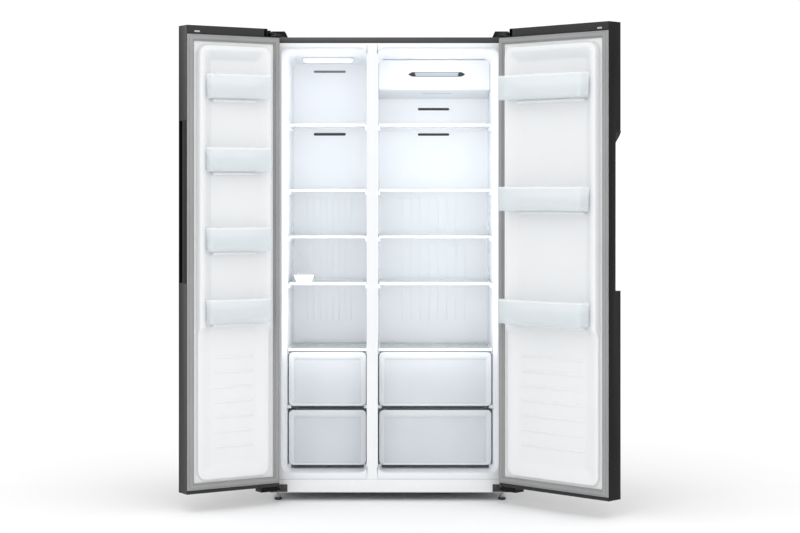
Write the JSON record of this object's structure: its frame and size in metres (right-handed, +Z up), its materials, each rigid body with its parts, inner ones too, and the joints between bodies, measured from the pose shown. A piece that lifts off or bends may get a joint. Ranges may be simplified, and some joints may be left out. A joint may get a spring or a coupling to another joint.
{
  "type": "side by side refrigerator",
  "caption": "Side by side refrigerator with a narrow freezer and a wide fridge, hinged doors, lift-off door bins, sliding shelves and pull-out drawers.",
  "frame": {"origin": "on the floor, under the centre of the cabinet between its side sheets and between its front flange and rear sheet", "axes": "+Z up, the front faces -Y, +X to the right for someone facing the front"},
  "size_m": [1.6183, 1.0871, 1.79],
  "materials": {
    "case_paint": "satin",
    "door_front": "gloss",
    "liner_white": "satin",
    "trim_white": "gloss",
    "clear_plastic": "clear",
    "shelf_glass": "clear",
    "gasket_grey": "matt",
    "black_plastic": "satin",
    "foam": "matt",
    "galvanised": "satin",
    "hinge_steel": "satin",
    "fin_aluminium": "mill",
    "compressor_paint": "gloss",
    "lamp_cover": "frosted",
    "foot_steel": "satin"
  },
  "bodies": {
    "cabinet": {"outer_case": "case_paint", "back_panel": "galvanised", "base_pan": "galvanised", "cabinet_foam": "foam", "freezer_liner": "liner_white", "fridge_liner": "liner_white", "mullion_cover": "trim_white", "kick_plate": "trim_white", "freezer_duct_cover": "liner_white", "fridge_duct_cover": "liner_white", "fridge_air_housing": "liner_white", "freezer_lamp_cover": "lamp_cover", "fridge_lamp_cover": "lamp_cover", "evaporator": "fin_aluminium", "fan_motors": "compressor_paint", "compressor": "compressor_paint", "condenser": "compressor_paint", "drip_tray": "black_plastic", "machine_room_cover": "galvanised", "top_hinges": "hinge_steel", "hinge_covers": "black_plastic", "bottom_hinges": "hinge_steel", "freezer_drawer_cover": "shelf_glass", "fridge_drawer_cover": "shelf_glass"},
    "freezer_door": {"freezer_door_skin": "door_front", "freezer_door_foam": "foam", "freezer_door_liner": "liner_white", "freezer_door_gasket": "gasket_grey", "freezer_door_handle": "black_plastic"},
    "fridge_door": {"fridge_door_skin": "door_front", "fridge_door_foam": "foam", "fridge_door_liner": "liner_white", "fridge_door_gasket": "gasket_grey", "fridge_door_handle": "black_plastic"},
    "evaporator_fan": {"evaporator_fan": "black_plastic"},
    "condenser_fan": {"condenser_fan": "black_plastic"},
    "front_foot_left": {"front_foot_left": "foot_steel"},
    "front_foot_right": {"front_foot_right": "foot_steel"},
    "rear_roller_left": {"rear_roller_left": "black_plastic"},
    "rear_roller_right": {"rear_roller_right": "black_plastic"},
    "ice_tray": {"ice_tray": "trim_white"},
    "freezer_shelf_1": {"freezer_shelf_1": "shelf_glass"},
    "freezer_shelf_2": {"freezer_shelf_2": "shelf_glass"},
    "freezer_shelf_3": {"freezer_shelf_3": "shelf_glass"},
    "freezer_shelf_4": {"freezer_shelf_4": "shelf_glass"},
    "fridge_shelf_1": {"fridge_shelf_1": "shelf_glass"},
    "fridge_shelf_2": {"fridge_shelf_2": "shelf_glass"},
    "fridge_shelf_3": {"fridge_shelf_3": "shelf_glass"},
    "fridge_shelf_4": {"fridge_shelf_4": "shelf_glass"},
    "freezer_drawer_upper": {"freezer_drawer_upper": "clear_plastic"},
    "freezer_drawer_lower": {"freezer_drawer_lower": "clear_plastic"},
    "fridge_drawer_upper": {"fridge_drawer_upper": "clear_plastic"},
    "fridge_drawer_lower": {"fridge_drawer_lower": "clear_plastic"},
    "freezer_bin_1": {"freezer_bin_1": "clear_plastic"},
    "freezer_bin_2": {"freezer_bin_2": "clear_plastic"},
    "freezer_bin_3": {"freezer_bin_3": "clear_plastic"},
    "freezer_bin_4": {"freezer_bin_4": "clear_plastic"},
    "fridge_bin_1": {"fridge_bin_1": "clear_plastic"},
    "fridge_bin_2": {"fridge_bin_2": "clear_plastic"},
    "fridge_bin_3": {"fridge_bin_3": "clear_plastic"}
  },
  "joints": [
    {"name": "freezer_door_hinge", "type": "hinge", "parent": "cabinet", "child": "freezer_door", "pos_m": [-0.4435, -0.3675, 0], "axis": [0, 0, -1], "range_deg": [-148, 2]},
    {"name": "fridge_door_hinge", "type": "hinge", "parent": "cabinet", "child": "fridge_door", "pos_m": [0.4435, -0.3675, 0], "axis": [0, 0, 1], "range_deg": [-136, 14]},
    {"name": "freezer_drawer_upper_slide", "type": "slide", "parent": "cabinet", "child": "freezer_drawer_upper", "axis": [0, -1, 0], "range_m": [0, 0.3]},
    {"name": "freezer_drawer_lower_slide", "type": "slide", "parent": "cabinet", "child": "freezer_drawer_lower", "axis": [0, -1, 0], "range_m": [0, 0.24]},
    {"name": "fridge_drawer_upper_slide", "type": "slide", "parent": "cabinet", "child": "fridge_drawer_upper", "axis": [0, -1, 0], "range_m": [0, 0.3]},
    {"name": "fridge_drawer_lower_slide", "type": "slide", "parent": "cabinet", "child": "fridge_drawer_lower", "axis": [0, -1, 0], "range_m": [0, 0.24]},
    {"name": "freezer_bin_1_lift", "type": "slide", "parent": "freezer_door", "child": "freezer_bin_1", "axis": [0, 0, 1], "range_m": [0, 0.035]},
    {"name": "freezer_bin_2_lift", "type": "slide", "parent": "freezer_door", "child": "freezer_bin_2", "axis": [0, 0, 1], "range_m": [0, 0.035]},
    {"name": "freezer_bin_3_lift", "type": "slide", "parent": "freezer_door", "child": "freezer_bin_3", "axis": [0, 0, 1], "range_m": [0, 0.035]},
    {"name": "freezer_bin_4_lift", "type": "slide", "parent": "freezer_door", "child": "freezer_bin_4", "axis": [0, 0, 1], "range_m": [0, 0.035]},
    {"name": "fridge_bin_1_lift", "type": "slide", "parent": "fridge_door", "child": "fridge_bin_1", "axis": [0, 0, 1], "range_m": [0, 0.035]},
    {"name": "fridge_bin_2_lift", "type": "slide", "parent": "fridge_door", "child": "fridge_bin_2", "axis": [0, 0, 1], "range_m": [0, 0.035]},
    {"name": "fridge_bin_3_lift", "type": "slide", "parent": "fridge_door", "child": "fridge_bin_3", "axis": [0, 0, 1], "range_m": [0, 0.035]},
    {"name": "freezer_shelf_1_slide", "type": "slide", "parent": "cabinet", "child": "freezer_shelf_1", "axis": [0, -1, 0], "range_m": [0, 0.25]},
    {"name": "freezer_shelf_2_slide", "type": "slide", "parent": "cabinet", "child": "freezer_shelf_2", "axis": [0, -1, 0], "range_m": [0, 0.25]},
    {"name": "freezer_shelf_3_slide", "type": "slide", "parent": "cabinet", "child": "freezer_shelf_3", "axis": [0, -1, 0], "range_m": [0, 0.25]},
    {"name": "freezer_shelf_4_slide", "type": "slide", "parent": "cabinet", "child": "freezer_shelf_4", "axis": [0, -1, 0], "range_m": [0, 0.25]},
    {"name": "fridge_shelf_1_slide", "type": "slide", "parent": "cabinet", "child": "fridge_shelf_1", "axis": [0, -1, 0], "range_m": [0, 0.25]},
    {"name": "fridge_shelf_2_slide", "type": "slide", "parent": "cabinet", "child": "fridge_shelf_2", "axis": [0, -1, 0], "range_m": [0, 0.25]},
    {"name": "fridge_shelf_3_slide", "type": "slide", "parent": "cabinet", "child": "fridge_shelf_3", "axis": [0, -1, 0], "range_m": [0, 0.25]},
    {"name": "fridge_shelf_4_slide", "type": "slide", "parent": "cabinet", "child": "fridge_shelf_4", "axis": [0, -1, 0], "range_m": [0, 0.25]},
    {"name": "ice_tray_slide", "type": "slide", "parent": "freezer_shelf_4", "child": "ice_tray", "axis": [0, -1, 0], "range_m": [0, 0.044]},
    {"name": "evaporator_fan_spin", "type": "hinge", "parent": "cabinet", "child": "evaporator_fan", "pos_m": [-0.24188, 0.185, 1.3], "axis": [0, 1, 0], "continuous": true},
    {"name": "condenser_fan_spin", "type": "hinge", "parent": "cabinet", "child": "condenser_fan", "pos_m": [0.06, 0.194, 0.148], "axis": [0, 1, 0], "continuous": true},
    {"name": "front_foot_left_turn", "type": "hinge", "parent": "cabinet", "child": "front_foot_left", "pos_m": [-0.427, -0.294, 0], "axis": [0, 0, 1], "continuous": true},
    {"name": "front_foot_right_turn", "type": "hinge", "parent": "cabinet", "child": "front_foot_right", "pos_m": [0.427, -0.294, 0], "axis": [0, 0, 1], "continuous": true},
    {"name": "rear_roller_left_roll", "type": "hinge", "parent": "cabinet", "child": "rear_roller_left", "pos_m": [-0.4, 0.266, 0.019], "axis": [1, 0, 0], "continuous": true},
    {"name": "rear_roller_right_roll", "type": "hinge", "parent": "cabinet", "child": "rear_roller_right", "pos_m": [0.4, 0.266, 0.019], "axis": [1, 0, 0], "continuous": true}
  ]
}
